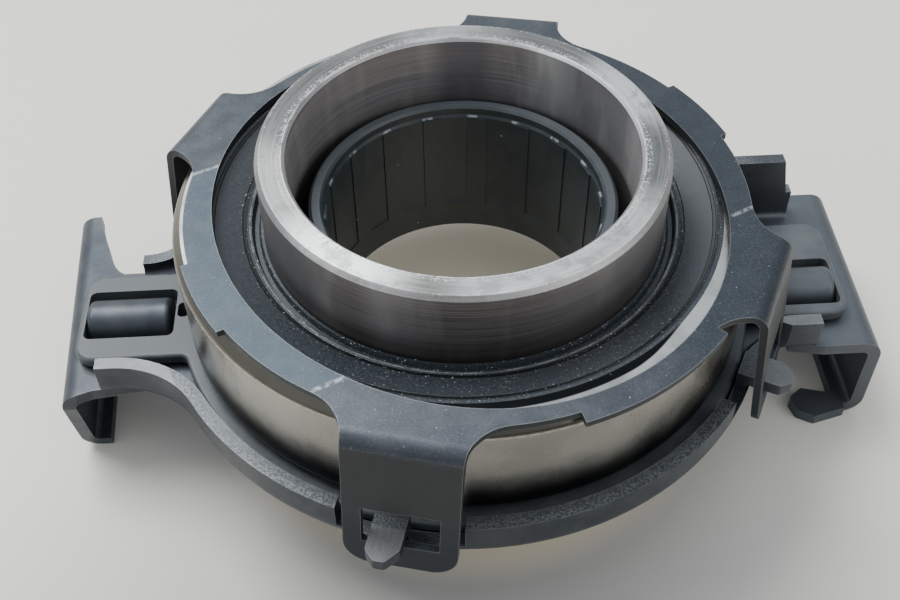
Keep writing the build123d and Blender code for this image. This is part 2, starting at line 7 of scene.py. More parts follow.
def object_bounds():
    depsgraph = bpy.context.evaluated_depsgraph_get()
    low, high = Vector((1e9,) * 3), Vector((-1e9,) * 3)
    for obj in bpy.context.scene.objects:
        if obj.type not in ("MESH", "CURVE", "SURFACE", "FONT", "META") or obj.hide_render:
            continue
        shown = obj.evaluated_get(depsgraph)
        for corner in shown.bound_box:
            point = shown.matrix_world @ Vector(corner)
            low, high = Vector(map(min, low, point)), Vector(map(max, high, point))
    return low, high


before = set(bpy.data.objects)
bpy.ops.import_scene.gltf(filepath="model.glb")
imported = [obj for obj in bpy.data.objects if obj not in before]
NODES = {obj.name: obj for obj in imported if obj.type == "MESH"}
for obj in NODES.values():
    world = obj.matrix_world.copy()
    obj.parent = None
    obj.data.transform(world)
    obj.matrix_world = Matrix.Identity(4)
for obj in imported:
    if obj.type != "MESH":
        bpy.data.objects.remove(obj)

cad_low, cad_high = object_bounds()
MM = 0.001

# Camera at the photograph's viewpoint: millimetres and degrees in the CAD frame, clips in metres
CAMERA_AT = (-7.28, -109.66, 122.7)
AZIMUTH = 86.96
TILT = 47.66
ROLL = -0.52
LENS = 47.76
SENSOR_WIDTH = 36.0
SHIFT_X = -0.0028
CLIP_START = 0.005
CLIP_END = 20.0

# Spans: a look begins at the first number and is complete at the second. LEVEL is for a
# normal's Z, EDGE for how well a rounded normal agrees with the face's own, the rest for noise.
LEVEL = (0.9, 0.97)
NEARLY_LEVEL = (0.8, 0.95)
EDGE = (0.90, 0.985)
TONES = (0.35, 0.7)
LINE_TONES = (0.3, 0.7)
LINE_ROUGHNESS = (0.2, 0.8)
GRAIN_ROUGHNESS = (0.3, 0.75)

# A Mix node's two inputs and its output by number, because their names repeat
MIX_SOCKETS = {"FLOAT": (2, 3, 0), "RGBA": (6, 7, 2)}
BEVEL_SAMPLES = 4


def add_to_scene(thing):
    bpy.context.scene.collection.objects.link(thing)


def aim(azimuth, tilt, roll):
    """The camera's rotation: azimuth of the view from +X, tilt below level, roll about the view."""
    a, t, r = (math.radians(v) for v in (azimuth, tilt, roll))
    forward = Vector((math.cos(a) * math.cos(t), math.sin(a) * math.cos(t), -math.sin(t)))
    level = Vector((math.sin(a), -math.cos(a), 0.0))
    rise = level.cross(forward)
    right = math.cos(r) * level + math.sin(r) * rise
    up = -math.sin(r) * level + math.cos(r) * rise
    return Matrix((right, up, -forward)).transposed()


camera_data = bpy.data.cameras.new("camera")
camera_data.lens = LENS
camera_data.sensor_width = SENSOR_WIDTH
camera_data.shift_x = SHIFT_X
camera_data.clip_start = CLIP_START
camera_data.clip_end = CLIP_END
camera = bpy.data.objects.new("camera", camera_data)
add_to_scene(camera)
turned = aim(AZIMUTH, TILT, ROLL).to_4x4()
camera.matrix_world = Matrix.Translation(Vector(CAMERA_AT) * MM) @ turned
bpy.context.scene.camera = camera


class Graph:
    """A material's nodes. A value may be a number, a colour, a vector or another node's output.

    point is the place on the piece in millimetres, r and turn its radius and angle about the
    bearing's axis, dx and dy the direction from the axis, and nz how far the face looks up.
    """

    def __init__(self, name):
        self.material = bpy.data.materials.new(name)
        self.material.use_nodes = True
        self.tree = self.material.node_tree
        self.bsdf = self.tree.nodes["Principled BSDF"]
        coords = self.new("ShaderNodeTexCoord").outputs["Object"]
        self.point = self.vector("SCALE", coords, scale=1.0 / MM)
        self.x, self.y, self.z = self.parts(self.point)
        squares = self.times(self.x, self.x), self.times(self.y, self.y)
        self.r = self.math("SQRT", self.plus(*squares))
        self.turn = self.math("ARCTAN2", self.y, self.x)
        self.dx = self.math("DIVIDE", self.x, self.r)
        self.dy = self.math("DIVIDE", self.y, self.r)
        self.nz = self.parts(self.new("ShaderNodeNewGeometry").outputs["True Normal"])[2]

    def new(self, kind):
        return self.tree.nodes.new(kind)

    def put(self, socket, value):
        if isinstance(value, bpy.types.NodeSocket):
            self.tree.links.new(value, socket)
        elif isinstance(value, (tuple, list)) and len(value) == 3 and socket.type == "RGBA":
            socket.default_value = (*value, 1.0)
        else:
            socket.default_value = value

    def math(self, operation, a, b=0.0, clamp=False):
        node = self.new("ShaderNodeMath")
        node.operation = operation
        node.use_clamp = clamp
        self.put(node.inputs[0], a)
        self.put(node.inputs[1], b)
        return node.outputs[0]

    def plus(self, a, b, clamp=False):
        return self.math("ADD", a, b, clamp)

    def minus(self, a, b, clamp=False):
        return self.math("SUBTRACT", a, b, clamp)

    def times(self, a, b):
        return self.math("MULTIPLY", a, b)

    def absolute(self, a):
        return self.math("ABSOLUTE", a)

    def vector(self, operation, a, b=(0.0, 0.0, 0.0), scale=1.0):
        node = self.new("ShaderNodeVectorMath")
        node.operation = operation
        self.put(node.inputs[0], a)
        self.put(node.inputs[1], b)
        if operation == "SCALE":
            self.put(node.inputs["Scale"], scale)
        return node.outputs["Value" if operation in ("LENGTH", "DOT_PRODUCT") else "Vector"]

    def parts(self, vector):
        node = self.new("ShaderNodeSeparateXYZ")
        self.put(node.inputs[0], vector)
        return node.outputs

    def join(self, x, y, z):
        node = self.new("ShaderNodeCombineXYZ")
        for socket, value in zip(node.inputs, (x, y, z)):
            self.put(socket, value)
        return node.outputs[0]

    def moved(self, *shift):
        """The point moved aside, so that two noises of one piece differ."""
        return self.vector("ADD", self.point, shift)

    def noise(self, where, scale, detail=3.0, rough=0.55):
        node = self.new("ShaderNodeTexNoise")
        self.put(node.inputs["Vector"], where)
        node.inputs["Scale"].default_value = scale
        node.inputs["Detail"].default_value = detail
        node.inputs["Roughness"].default_value = rough
        return node.outputs["Fac"]

    def spun(self, circle, along, scale=1.0, detail=3.0, rough=0.6):
        """Noise drawn out round the axis with no seam: a smaller circle gives longer marks."""
        where = self.join(self.times(self.dx, circle), self.times(self.dy, circle), along)
        return self.noise(where, scale, detail, rough)

    def spots(self, where, scale, size, amount):
        """Small round spots of this strength, their soft edge at the two distances of size."""
        node = self.new("ShaderNodeTexVoronoi")
        self.put(node.inputs["Vector"], where)
        node.inputs["Scale"].default_value = scale
        return self.step(node.outputs["Distance"], size, amount, 0.0)

    def step(self, value, span, a=0.0, b=1.0):
        """Goes smoothly from a to b while value goes through span."""
        node = self.new("ShaderNodeMapRange")
        node.interpolation_type = "SMOOTHSTEP"
        self.put(node.inputs["Value"], value)
        node.inputs["From Min"].default_value, node.inputs["From Max"].default_value = span
        node.inputs["To Min"].default_value = a
        node.inputs["To Max"].default_value = b
        return node.outputs["Result"]

    def band(self, value, middle, half, soft):
        """1 within half of middle, fading to 0 over soft."""
        return self.step(self.absolute(self.minus(value, middle)), (half, half + soft), 1.0, 0.0)

    def around(self, middle, half, soft):
        """A band by angle about the axis, in radians, with no seam at half a turn."""
        off = self.math("COSINE", self.minus(self.turn, middle))
        return self.step(self.math("ARCCOSINE", off), (half, half + soft), 1.0, 0.0)

    def blend(self, factor, a, b, kind="FLOAT"):
        """a where factor is 0 and b where it is 1."""
        node = self.new("ShaderNodeMix")
        node.data_type = kind
        first, second, result = MIX_SOCKETS[kind]
        self.put(node.inputs["Factor"], factor)
        self.put(node.inputs[first], a)
        self.put(node.inputs[second], b)
        return node.outputs[result]

    def mix(self, factor, a, b):
        return self.blend(factor, a, b, "RGBA")

    def grade(self, value, span, colors):
        """From the first to the second of two colours while value goes through span."""
        return self.mix(self.step(value, span), *colors)

    def tint(self, color, mask, over, amount=None):
        """Lays another colour over this one by mask, or by mask times amount."""
        return self.mix(mask if amount is None else self.times(mask, amount), color, over)

    def worn(self, radius, amount):
        """Wear of this strength within radius millimetres of a sharp edge."""
        bevel = self.new("ShaderNodeBevel")
        bevel.samples = BEVEL_SAMPLES
        bevel.inputs["Radius"].default_value = radius * MM
        flat = self.new("ShaderNodeNewGeometry").outputs["Normal"]
        bend = self.vector("DOT_PRODUCT", bevel.outputs["Normal"], flat)
        return self.step(bend, EDGE, amount, 0.0)

    def bump(self, height, depth, strength=1.0, under=None):
        """Relief of this depth in millimetres, on top of the relief that under makes."""
        node = self.new("ShaderNodeBump")
        node.inputs["Strength"].default_value = strength
        node.inputs["Distance"].default_value = depth * MM
        self.put(node.inputs["Height"], height)
        if under is not None:
            self.put(node.inputs["Normal"], under)
        return node.outputs["Normal"]

    def finish(self, color, rough, metal, normal=None):
        self.put(self.bsdf.inputs["Base Color"], color)
        self.put(self.bsdf.inputs["Roughness"], rough)
        self.put(self.bsdf.inputs["Metallic"], metal)
        if normal is not None:
            self.put(self.bsdf.inputs["Normal"], normal)
        return self.material


def paint(material, *names):
    for name in names:
        mesh = NODES[name].data
        mesh.materials.clear()
        mesh.materials.append(material)


# Below, a radius or height is in millimetres. A band is its middle, half width and soft edge,
# and an arc is the same by angle about the axis, in radians, with 0 at the right-hand ear.
# Two colours in one value are the ends between which a finish varies.

# Nose: turned steel, with a dull outer wall and a lighter bore. The end face carries painted
# highlights (bright arcs by angle, glints at its edges, a bright inner rim) and a painted shade.
# The outer wall and the bore carry painted reflections, light and dark, and painted shade; the
# outer wall's painted shade is low down, and the nose is darker at its foot. All these painted
# marks turn with the ring.
NOSE_END_UP = (0.6, 0.9)
NOSE_WALL_R = 22.2
NOSE_WALL_SOFT = 0.5
NOSE_END_EDGES = ((21.9, 0.35, 0.5), (24.75, 0.2, 0.3))
NOSE_RIM = (21.75, 0.05, 0.12)
NOSE_WALL_SHADE_Z = (24.0, 20.5)
NOSE_FOOT_Z = (20.2, 19.0)
# Painted highlights on the end face, as arcs by angle: a main one, then more with their strength
NOSE_MAIN_HIGHLIGHT_ARC = (-2.25, 0.10, 0.36)
NOSE_HIGHLIGHT_ARCS = (  # arc, strength
    ((-1.05, 0.45, 0.30), 0.42),
    ((0.42, 0.12, 0.30), 0.55),
    ((-2.85, 0.20, 0.30), 0.22),
    ((1.57, 0.12, 0.30), 0.28),
)
# Painted reflections, light and dark, on the outer wall
NOSE_WALL_REFLECTIONS = (  # arc, colour, strength
    ((-0.70, 0.30, 0.50), (0.60, 0.58, 0.56), 0.40),
    ((-2.65, 0.15, 0.30), (0.18, 0.18, 0.185), 0.8),
    ((-1.95, 0.05, 0.16), (0.62, 0.58, 0.57), 0.35),
)
NOSE_END_SHADE_ARC = (2.62, 0.20, 0.30)
NOSE_BORE_REFLECTION_ARC = (0.85, 0.40, 0.30)
NOSE_BORE_SHADE_ARC = (1.50, 0.08, 0.14)
NOSE_BORE_GLEAM_ARC = (0.95, 0.10, 0.10)
NOSE_BORE_DIM_ARC = (0.55, 0.25, 0.20)
NOSE_END_DULL = ((0.13, 0.13, 0.125), (0.25, 0.245, 0.235))
NOSE_END_HIGHLIGHT = ((0.84, 0.83, 0.81), (0.99, 0.98, 0.96))
NOSE_END_BLOTCH = (0.22, 0.22, 0.21)
NOSE_END_SHADE = (0.09, 0.09, 0.09)
NOSE_GLINT = (0.96, 0.95, 0.92)
NOSE_GLINT_ROUGHNESS = 0.12
NOSE_RIM_HIGHLIGHT = (0.98, 0.97, 0.95)
NOSE_WALL = ((0.17, 0.148, 0.145), (0.33, 0.298, 0.29))
NOSE_WALL_CLOUD = (0.50, 0.475, 0.45)
NOSE_WALL_SHADE = (0.10, 0.085, 0.08)
NOSE_BORE = ((0.33, 0.302, 0.298), (0.48, 0.445, 0.44))
NOSE_BORE_REFLECTION = (0.76, 0.73, 0.71)
NOSE_BORE_SHADE = (0.17, 0.165, 0.20)
NOSE_BORE_GLEAM = (0.88, 0.86, 0.84)
NOSE_BORE_DIM = (0.24, 0.24, 0.25)
NOSE_FOOT = (0.05, 0.045, 0.04)


def nose_end_color(g, rings, blotch, glint):
    # Painted highlights: bright arcs by angle over the end face's own dull colour
    end_highlights = g.around(*NOSE_MAIN_HIGHLIGHT_ARC)
    for arc, strength in NOSE_HIGHLIGHT_ARCS:
        end_highlights = g.plus(end_highlights, g.times(g.around(*arc), strength), clamp=True)
    dull = g.grade(rings, TONES, NOSE_END_DULL)
    color = g.mix(end_highlights, dull, g.grade(rings, (0.3, 0.6), NOSE_END_HIGHLIGHT))
    color = g.tint(color, g.step(blotch, (0.50, 0.62), 0.0, 0.5), NOSE_END_BLOTCH)
    color = g.tint(color, g.around(*NOSE_END_SHADE_ARC), NOSE_END_SHADE, amount=0.5)
    color = g.tint(color, glint, NOSE_GLINT)
    # Painted highlight on the inner rim, broken by the blotches
    rim_highlight = g.times(g.band(g.r, *NOSE_RIM), g.step(blotch, (0.40, 0.52)))
    return g.tint(color, rim_highlight, NOSE_RIM_HIGHLIGHT)


def nose_wall_color(g, lines, cloud):
    color = g.grade(lines, LINE_TONES, NOSE_WALL)
    color = g.tint(color, g.step(cloud, (0.45, 0.7), 0.0, 0.6), NOSE_WALL_CLOUD)
    # Painted reflections, light and dark, on the outer wall by angle
    for arc, over, strength in NOSE_WALL_REFLECTIONS:
        color = g.tint(color, g.around(*arc), over, strength)
    # Painted shade low on the outer wall
    return g.tint(color, g.step(g.z, NOSE_WALL_SHADE_Z, 0.0, 0.55), NOSE_WALL_SHADE)


def nose_bore_color(g, lines, cloud):
    color = g.grade(lines, LINE_TONES, NOSE_BORE)
    # Painted reflections in the bore: light streaks, strongest within an arc
    bore_reflections = g.step(cloud, (0.47, 0.66), 0.0, 0.75)
    bore_reflections = g.times(bore_reflections, g.blend(g.around(*NOSE_BORE_REFLECTION_ARC), 0.25, 1.0))
    color = g.tint(color, bore_reflections, NOSE_BORE_REFLECTION)
    color = g.tint(color, g.around(*NOSE_BORE_SHADE_ARC), NOSE_BORE_SHADE, amount=0.55)
    gleam = g.times(g.around(*NOSE_BORE_GLEAM_ARC), g.step(cloud, (0.35, 0.60), 0.25, 0.6))
    color = g.tint(color, gleam, NOSE_BORE_GLEAM)
    return g.tint(color, g.around(*NOSE_BORE_DIM_ARC), NOSE_BORE_DIM, amount=0.55)


def nose_material():
    g = Graph("nose_steel_look")
    end = g.step(g.nz, NOSE_END_UP)
    bore = g.step(g.minus(NOSE_WALL_R, g.r), (0.0, NOSE_WALL_SOFT))
    rings = g.spun(circle=2.5, along=g.plus(g.times(g.r, 6.0), g.z), detail=4.0, rough=0.65)
    lines = g.spun(circle=1.2, along=g.times(g.z, 7.0))
    cloud = g.spun(circle=5.0, along=g.times(g.z, 0.05), rough=0.5)
    blotch = g.noise(g.point, scale=0.35, detail=5.0, rough=0.65)
    spark = g.noise(g.point, scale=3.2, detail=3.0, rough=0.7)
    inner_edge, outer_edge = (g.band(g.r, *edge) for edge in NOSE_END_EDGES)
    glint = g.times(g.step(spark, (0.52, 0.62)), g.plus(inner_edge, outer_edge, clamp=True))
    glint = g.times(glint, end)

    color = g.mix(bore, nose_wall_color(g, lines, cloud), nose_bore_color(g, lines, cloud))
    color = g.tint(color, g.step(g.z, NOSE_FOOT_Z), NOSE_FOOT, amount=0.8)
    color = g.mix(end, color, nose_end_color(g, rings, blotch, glint))

    wall_rough = g.step(lines, LINE_ROUGHNESS, 0.40, 0.50)
    bore_rough = g.step(lines, LINE_ROUGHNESS, 0.46, 0.60)
    end_rough = g.step(rings, LINE_ROUGHNESS, 0.34, 0.50)
    rough = g.blend(end, g.blend(bore, wall_rough, bore_rough), end_rough)
    rough = g.blend(glint, rough, NOSE_GLINT_ROUGHNESS)
    metal = g.blend(end, g.blend(bore, 0.9, 0.75), 1.0)
    relief = g.bump(g.blend(end, lines, rings), depth=0.02, strength=0.5)
    return g.finish(color, rough, metal, relief)


# Outer ring: warm ground band, darker low down with a wavy edge, painted shade on the
# chamfer, and the crescent of its end face, with a painted shadow under the seal's bead whose
# edge moves in and out with the angle
RING_LOW_BAND_Z = (12.0, 8.4)
RING_LOW_BAND_WAVE = 2.2
RING_FOOT_Z = (7.4, 6.8)
RING_CHAMFER_UP = (0.25, 0.45)
RING_CHAMFER_R = (34.9, 35.2)
BEAD_SHADOW_R = (33.0, 32.8)
BEAD_SHADOW_WIDER = ((-1.25, 0.30, 0.35), 0.35)
BEAD_SHADOW_NARROWER = ((-0.45, 0.30, 0.30), 0.8)
RING_BAND = ((0.33, 0.315, 0.275), (0.43, 0.41, 0.365))
RING_LINE = (0.34, 0.32, 0.275)
RING_LOW_BAND = (0.055, 0.062, 0.068)
RING_FOOT = (0.13, 0.12, 0.105)
RING_CHAMFER_SHADE = (0.105, 0.092, 0.072)
RING_END = ((0.36, 0.355, 0.335), (0.50, 0.50, 0.475))
BEAD_SHADOW = (0.010, 0.011, 0.012)
RING_SPOT = (0.16, 0.13, 0.10)


def ring_material():
    g = Graph("ring_steel_look")
    lines = g.spun(circle=1.4, along=g.times(g.z, 9.0))
    haze = g.noise(g.point, scale=0.12, detail=4.0, rough=0.6)
    band_edge_noise = g.spun(circle=5.0, along=g.times(g.z, 0.4), detail=4.0)
    color = g.grade(haze, TONES, RING_BAND)
    color = g.tint(color, g.step(lines, (0.45, 0.8), 0.0, 0.3), RING_LINE)
    # Darker low down, with a wavy upper edge
    low_band = g.step(g.plus(g.z, g.times(g.minus(band_edge_noise, 0.5), RING_LOW_BAND_WAVE)), RING_LOW_BAND_Z)
    color = g.tint(color, low_band, RING_LOW_BAND, amount=0.88)
    color = g.tint(color, g.step(g.z, RING_FOOT_Z), RING_FOOT)
    # Painted shade on the chamfer at the end face's outer edge
    chamfer_shade = g.times(g.step(g.nz, RING_CHAMFER_UP), g.step(g.r, RING_CHAMFER_R))
    color = g.tint(color, chamfer_shade, RING_CHAMFER_SHADE, amount=0.9)
    end = g.step(g.nz, LEVEL)
    color = g.mix(end, color, g.grade(haze, (0.40, 0.60), RING_END))

    # Painted shadow on the end face under the seal's bead, its outer edge moved in and out by angle
    wider_arc, wider = BEAD_SHADOW_WIDER
    narrower_arc, narrower = BEAD_SHADOW_NARROWER
    reach = g.minus(g.r, g.times(g.around(*wider_arc), wider))
    reach = g.plus(reach, g.times(g.around(*narrower_arc), narrower))
    color = g.tint(color, g.times(end, g.step(reach, BEAD_SHADOW_R)), BEAD_SHADOW)
    spots = g.spots(g.moved(5.0, 1.0, 2.0), scale=0.33, size=(0.035, 0.05), amount=0.7)
    color = g.tint(color, spots, RING_SPOT)

    rough = g.plus(g.step(haze, GRAIN_ROUGHNESS, 0.24, 0.34), g.times(low_band, 0.08))
    return g.finish(color, rough, 1.0, g.bump(lines, depth=0.006, strength=0.35))


# Cover: blue-grey spring steel, with a painted bluer sheen on the panel between the folds
# at the left, painted shade on the right side, painted glints broken along the folds, fine
# scratches and dust
FOLD_TURN = math.radians(25.2)
FOLD_AT = 19.4
FOLD_SHIFT = 0.53
FOLD_SOFT = 0.6
FOLD_GLINT = (FOLD_AT, 0.10, 0.30)
COVER_LEFT_X = (5.0, -8.0)
COVER_RIGHT_X = (12.0, 28.0)
COVER_LEG_STEEP = (0.45, 0.25)
COVER_LEG_Z = (13.0, 5.0)
COVER_FLAP = ((0.056, 0.062, 0.071), (0.076, 0.083, 0.094))
COVER_PANEL_SHEEN = ((0.053, 0.068, 0.082), (0.076, 0.094, 0.110))
COVER_RIGHT_SHADE = (0.028, 0.035, 0.044)
COVER_STAIN = (0.050, 0.058, 0.066)
COVER_FOLD_GLINT = (0.46, 0.48, 0.48)
COVER_GRAIN = (0.155, 0.17, 0.18)
COVER_SCRATCH = (0.22, 0.235, 0.245)
COVER_DUST = (0.50, 0.50, 0.47)
COVER_LEG = ((0.052, 0.053, 0.053), (0.033, 0.039, 0.048))
COVER_WORN = (0.36, 0.375, 0.38)
COVER_METAL = 0.72
COVER_LEG_ROUGHNESS = 0.50


def cover_material():
    g = Graph("cover_steel_look")
    mottle = g.noise(g.point, scale=0.35, detail=5.0, rough=0.65)
    stain = g.noise(g.moved(11.0, 3.0, 0.0), scale=0.09, detail=3.0, rough=0.5)
    fine = g.noise(g.point, scale=6.0, detail=2.0, rough=0.5)
    specks = g.noise(g.moved(3.1, 7.7, 1.3), scale=2.6, detail=1.0, rough=0.5)
    broken = g.noise(g.point, scale=1.2, detail=3.0, rough=0.6)

    # Distance from the line midway between the folds, which run along the cover's strip
    across = g.plus(g.times(g.y, math.cos(FOLD_TURN)), FOLD_SHIFT)
    across = g.minus(across, g.times(g.x, math.sin(FOLD_TURN)))
    strip = g.step(g.absolute(across), (FOLD_AT + FOLD_SOFT, FOLD_AT - FOLD_SOFT))
    left = g.times(strip, g.step(g.x, COVER_LEFT_X))
    flap = g.grade(mottle, TONES, COVER_FLAP)
    # Painted shade on the right side
    flap = g.tint(flap, g.step(g.x, COVER_RIGHT_X, 0.0, 0.7), COVER_RIGHT_SHADE)
    # Painted sheen: the left panel between the folds bluer
    color = g.mix(left, flap, g.grade(mottle, TONES, COVER_PANEL_SHEEN))
    color = g.tint(color, g.step(stain, (0.5, 0.7), 0.0, 0.35), COVER_STAIN)

    level = g.step(g.nz, LEVEL)
    fold_line = g.band(g.absolute(across), *FOLD_GLINT)
    fold_line = g.times(g.times(fold_line, level), g.times(g.step(broken, (0.35, 0.6)), 0.55))
    color = g.tint(color, fold_line, COVER_FOLD_GLINT)
    color = g.tint(color, g.step(fine, (0.52, 0.72), 0.0, 0.4), COVER_GRAIN)
    scuffs = g.join(g.times(g.x, 7.0), g.times(across, 0.6), 0.0)
    scratches = g.join(g.times(across, 8.0), g.times(g.x, 0.5), 3.0)
    scuffs, scratches = (
        g.step(g.noise(drawn_out, scale=1.0, detail=3.0, rough=0.6), (0.64, 0.74))
        for drawn_out in (scuffs, scratches)
    )
    marks = g.times(g.plus(scuffs, scratches, clamp=True), level)
    color = g.tint(color, marks, COVER_SCRATCH, amount=0.35)
    color = g.tint(color, g.step(specks, (0.765, 0.80)), COVER_DUST, amount=0.6)
    leg = g.step(g.nz, COVER_LEG_STEEP)
    color = g.tint(color, leg, g.grade(g.z, COVER_LEG_Z, COVER_LEG), amount=0.8)
    color = g.tint(color, g.worn(radius=0.16, amount=0.55), COVER_WORN)

    rough = g.plus(g.step(mottle, GRAIN_ROUGHNESS, 0.36, 0.46), g.times(left, 0.06))
    rough = g.blend(leg, rough, COVER_LEG_ROUGHNESS)
    dents = g.bump(mottle, depth=0.05, strength=0.3)
    relief = g.bump(fine, depth=0.02, strength=0.35, under=dents)
    return g.finish(color, rough, COVER_METAL, relief)


# Carrier: dark coated sheet, with painted light on the right ear. Its level cut edges are
# speckled, finer on the rim's inner half and darker towards the flanges' ends. The hooks' tops
# are brushed.
CARRIER_RIGHT_X = (40.0, 48.0)
RIDGE = (-2.35, 3.6, 0.3)
RIDGE_X = (37.0, 38.0)
CUT_Z = (4.0, 4.3)
INNER_CUT_R = (38.9, 38.6)
FLANGE_END_R = (41.5, 44.5)
HOOK_R = (39.9, 40.3)
HOOK_Z = (7.2, 7.5)
HOOK_TOP = (7.6, 0.2, 0.1)
CARRIER = ((0.043, 0.050, 0.060), (0.068, 0.077, 0.088))
CARRIER_DRIFT = (0.092, 0.093, 0.092)
CARRIER_GRAIN = (0.15, 0.155, 0.16)
CARRIER_RIGHT_LIGHT = (0.135, 0.145, 0.157)
CARRIER_CUT = ((0.052, 0.058, 0.065), (0.19, 0.195, 0.20))
CARRIER_INNER_CUT = ((0.060, 0.065, 0.070), (0.15, 0.155, 0.16))
CARRIER_FLANGE_END = (0.024, 0.028, 0.034)
CARRIER_HOOK = ((0.11, 0.112, 0.115), (0.27, 0.27, 0.265))
CARRIER_WORN = (0.27, 0.275, 0.27)
CARRIER_METAL = 0.65


def carrier_material():
    g = Graph("carrier_steel_look")
    mottle = g.noise(g.point, scale=0.30, detail=5.0, rough=0.65)
    grain = g.noise(g.point, scale=5.0, detail=3.0, rough=0.6)
    drift = g.noise(g.moved(7.0, 2.0, 9.0), scale=0.07, detail=3.0, rough=0.5)
    brushed = g.spun(circle=90.0, along=g.times(g.r, 0.8))
    color = g.grade(mottle, TONES, CARRIER)
    color = g.tint(color, g.step(drift, (0.45, 0.7), 0.0, 0.5), CARRIER_DRIFT)
    color = g.tint(color, g.step(grain, (0.58, 0.8), 0.0, 0.35), CARRIER_GRAIN)
    # Painted light on the right ear
    color = g.tint(color, g.step(g.x, CARRIER_RIGHT_X, 0.0, 0.5), CARRIER_RIGHT_LIGHT)

    level = g.step(g.nz, NEARLY_LEVEL)
    ridge = g.times(g.band(g.y, *RIDGE), g.step(g.absolute(g.x), RIDGE_X))
    cut = g.times(g.times(level, g.step(g.z, CUT_Z)), g.minus(1.0, ridge, clamp=True))
    bare = g.grade(grain, (0.42, 0.60), CARRIER_CUT)
    bare = g.tint(bare, g.step(g.r, INNER_CUT_R), g.grade(grain, (0.4, 0.65), CARRIER_INNER_CUT))
    bare = g.tint(bare, g.step(g.r, FLANGE_END_R, 0.0, 0.55), CARRIER_FLANGE_END)
    color = g.tint(color, cut, bare, amount=0.85)
    hook = g.times(level, g.step(g.r, HOOK_R))
    hook = g.times(hook, g.times(g.step(g.z, HOOK_Z), g.band(g.z, *HOOK_TOP)))
    color = g.tint(color, hook, g.mix(brushed, *CARRIER_HOOK), amount=0.7)
    worn = g.times(g.worn(radius=0.25, amount=0.42), g.step(mottle, (0.35, 0.6), 0.35, 1.0))
    color = g.tint(color, worn, CARRIER_WORN)

    rough = g.step(grain, GRAIN_ROUGHNESS, 0.38, 0.52)
    dents = g.bump(mottle, depth=0.08, strength=0.35)
    relief = g.bump(grain, depth=0.03, strength=0.4, under=dents)
    return g.finish(color, rough, CARRIER_METAL, relief)


# Sleeve: black plastic, with a greyer flange and mouth, painted highlights in dashes on its
# ribs' top ends and a few dust specks
SLEEVE_FLANGE_R = (19.6, 20.2)
SLEEVE_MOUTH_Z = (20.9, 21.2)
RIBS = 18.0
RIB_TOP = 19.8
RIB_END_R = (17.75, 17.6)
RIB_END = (RIB_TOP + 0.15, 0.08, 0.10)
RIB_HIGHLIGHT_SLOT = (0.0, 0.20, 0.05)
SLEEVE = ((0.020, 0.027, 0.030), (0.034, 0.041, 0.043))
SLEEVE_FLANGE = ((0.058, 0.065, 0.071), (0.084, 0.091, 0.096))
SLEEVE_MOUTH = (0.052, 0.058, 0.066)
SLEEVE_RIB_HIGHLIGHT = (0.45, 0.47, 0.48)
SLEEVE_SPECK = (0.40, 0.40, 0.37)


def sleeve_material():
    g = Graph("sleeve_plastic_look")
    grain = g.noise(g.point, scale=4.0, detail=3.0, rough=0.6)
    haze = g.noise(g.point, scale=0.25, detail=3.0, rough=0.6)
    broken = g.noise(g.point, scale=1.4, detail=2.0, rough=0.5)
    flange = g.step(g.r, SLEEVE_FLANGE_R)
    color = g.mix(flange, g.grade(haze, TONES, SLEEVE), g.grade(haze, TONES, SLEEVE_FLANGE))
    mouth = g.times(g.step(g.nz, NEARLY_LEVEL), g.step(g.z, SLEEVE_MOUTH_Z))
    color = g.tint(color, mouth, SLEEVE_MOUTH, amount=0.6)

    # Painted highlights, in broken dashes, on the ribs' top ends
    rib_end = g.times(g.band(g.z, *RIB_END), g.step(g.r, RIB_END_R))
    slot = g.math("FRACT", g.times(g.turn, RIBS / (2.0 * math.pi)))
    rib_highlight = g.times(g.times(rib_end, g.band(slot, *RIB_HIGHLIGHT_SLOT)), g.step(broken, (0.35, 0.55)))
    color = g.tint(color, rib_highlight, SLEEVE_RIB_HIGHLIGHT, amount=0.6)
    specks = g.spots(g.moved(1.3, 4.4, 0.7), scale=0.30, size=(0.03, 0.05), amount=0.8)
    color = g.tint(color, specks, SLEEVE_SPECK)

    rough = g.plus(g.step(haze, GRAIN_ROUGHNESS, 0.34, 0.46), g.times(flange, 0.06))
    return g.finish(color, rough, 0.0, g.bump(grain, depth=0.02, strength=0.3))


# Seal: glossy black rubber with a lip at the nose and a painted highlight along it, two grooves
# with painted shade, a bead outside with painted glints, a painted sheen at the front, and
# grease specks, most of them near the lip
SEAL_BEAD_R = (31.3, 31.5)
SEAL_LIP = (26.72, 0.06, 0.08)
SEAL_GROOVES = ((27.3, 0.22, 0.12), (31.1, 0.15, 0.10))
SEAL_GREASY_R = (28.6, 27.4)
SEAL_SHEEN_ARC = (-1.25, 0.35, 0.60)
SEAL_FRONT_ARC = (-1.45, 0.55, 0.60)
SEAL = ((0.014, 0.018, 0.022), (0.030, 0.036, 0.043))
SEAL_SHEEN = (0.055, 0.060, 0.066)
SEAL_GREASE = (0.16, 0.15, 0.12)
SEAL_LIP_SHINE = (0.24, 0.25, 0.26)
SEAL_GROOVE_SHADE = (0.004, 0.005, 0.005)
SEAL_BEAD_GLINT = (0.75, 0.75, 0.72)
SEAL_SPECK = (0.55, 0.55, 0.54)
GREASE_ROUGHNESS = 0.20
SEAL_FRONT_ROUGHNESS = 0.18
SEAL_BEAD_ROUGHNESS = 0.16
SEAL_LIP_ROUGHNESS = 0.14


